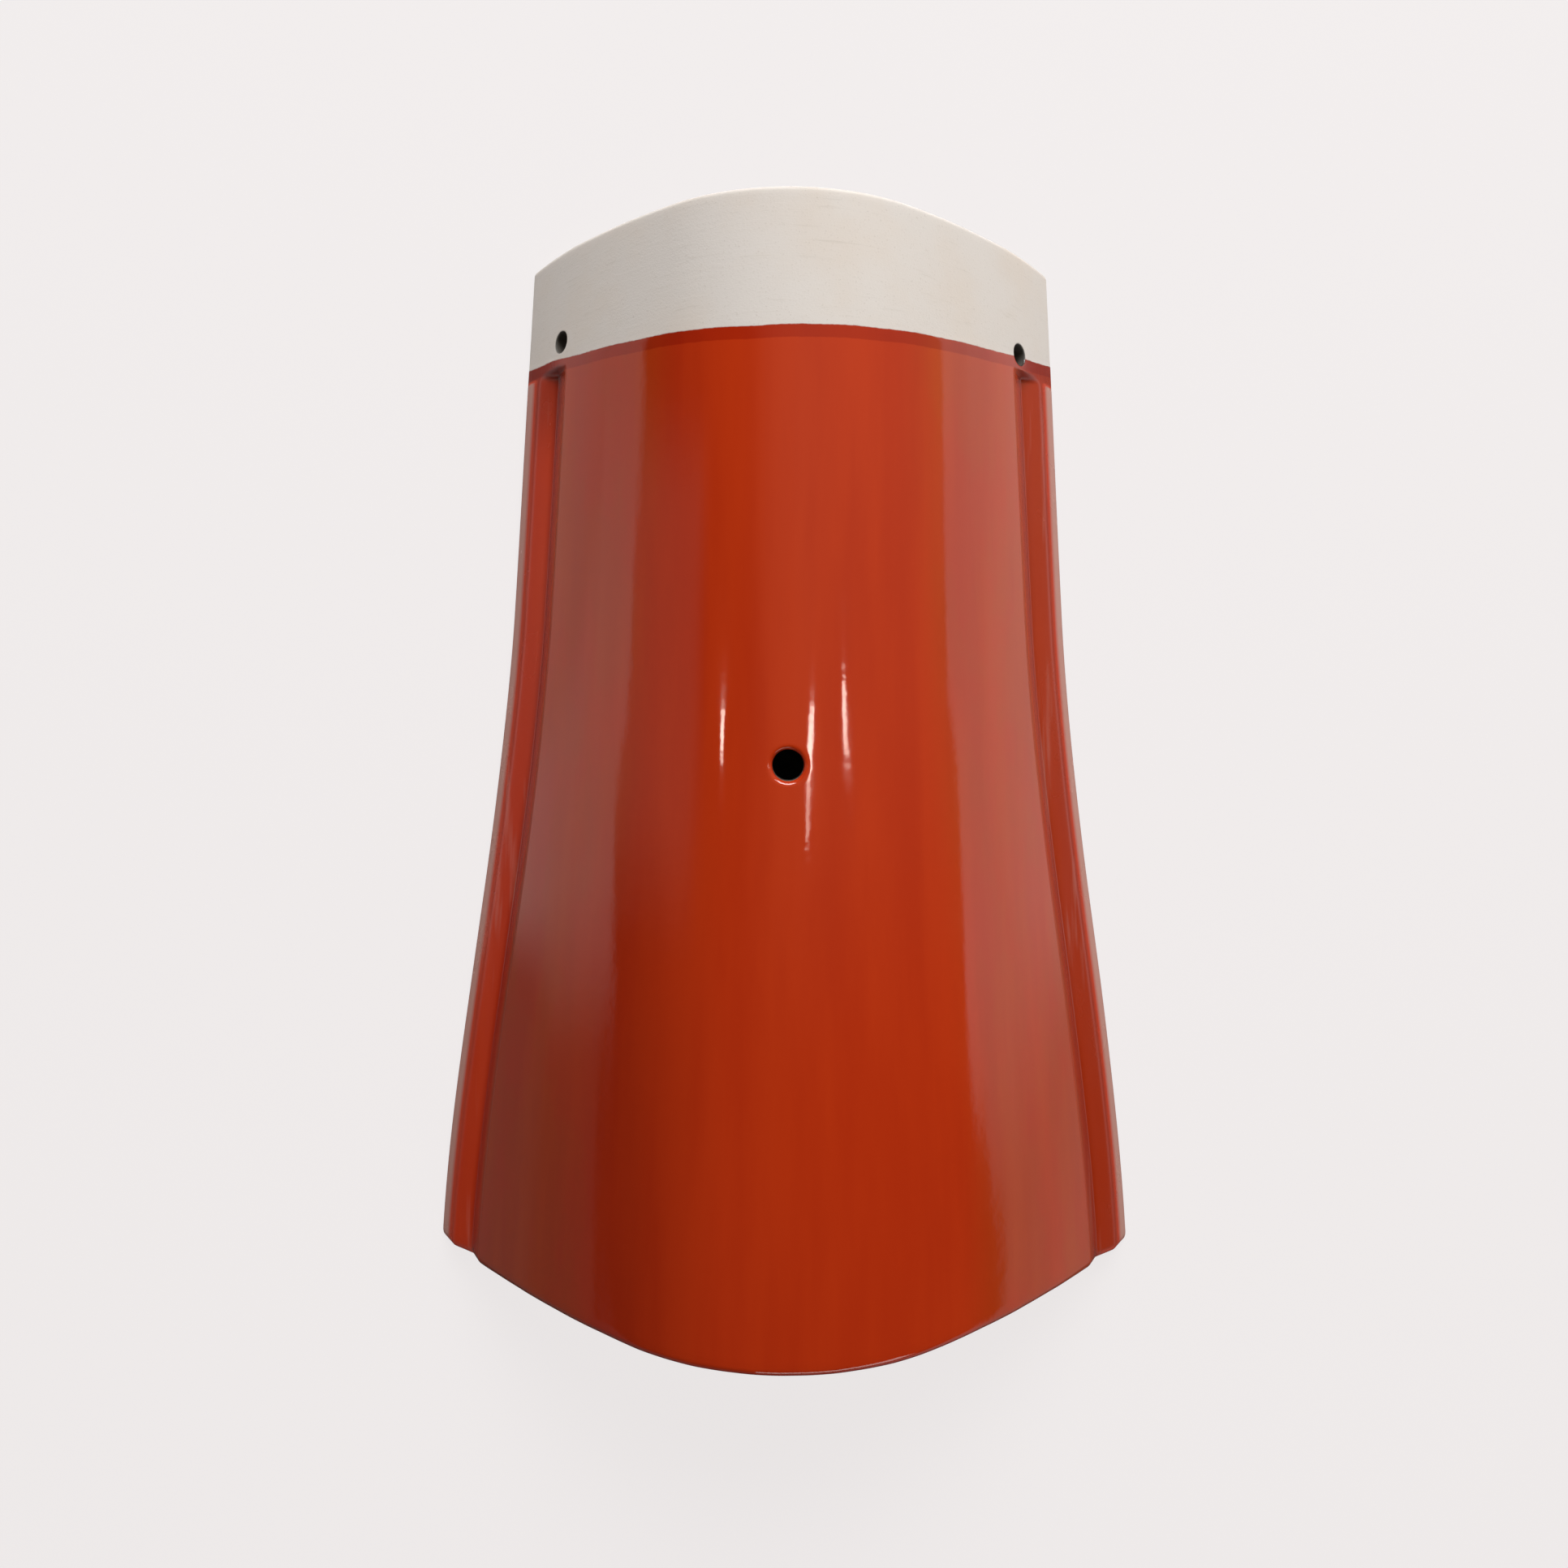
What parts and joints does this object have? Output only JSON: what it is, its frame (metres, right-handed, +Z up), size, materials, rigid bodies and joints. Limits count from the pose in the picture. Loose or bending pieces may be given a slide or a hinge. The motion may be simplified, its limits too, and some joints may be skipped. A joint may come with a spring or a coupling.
{
  "type": "verge end tile",
  "caption": "Arched clay barrel tile with a bell-flared tail, red glaze, bare lap band at the narrow head, rebated long edges, a crest screw hole and nail holes; covers the end of a roof verge.",
  "frame": {"origin": "middle of the tile's box on the plane of its feet, under the crest and midway between head and tail", "axes": "+Y along the crest towards the narrow head, +Z up through the crown, +X to the right when the head is away"},
  "size_m": [0.2606, 0.37, 0.0879],
  "materials": {
    "glazed_clay": "gloss red glaze, with bare cream clay on the lap band and the underside"
  },
  "bodies": {
    "root": {"verge_end_tile": "glazed_clay"}
  },
  "joints": []
}
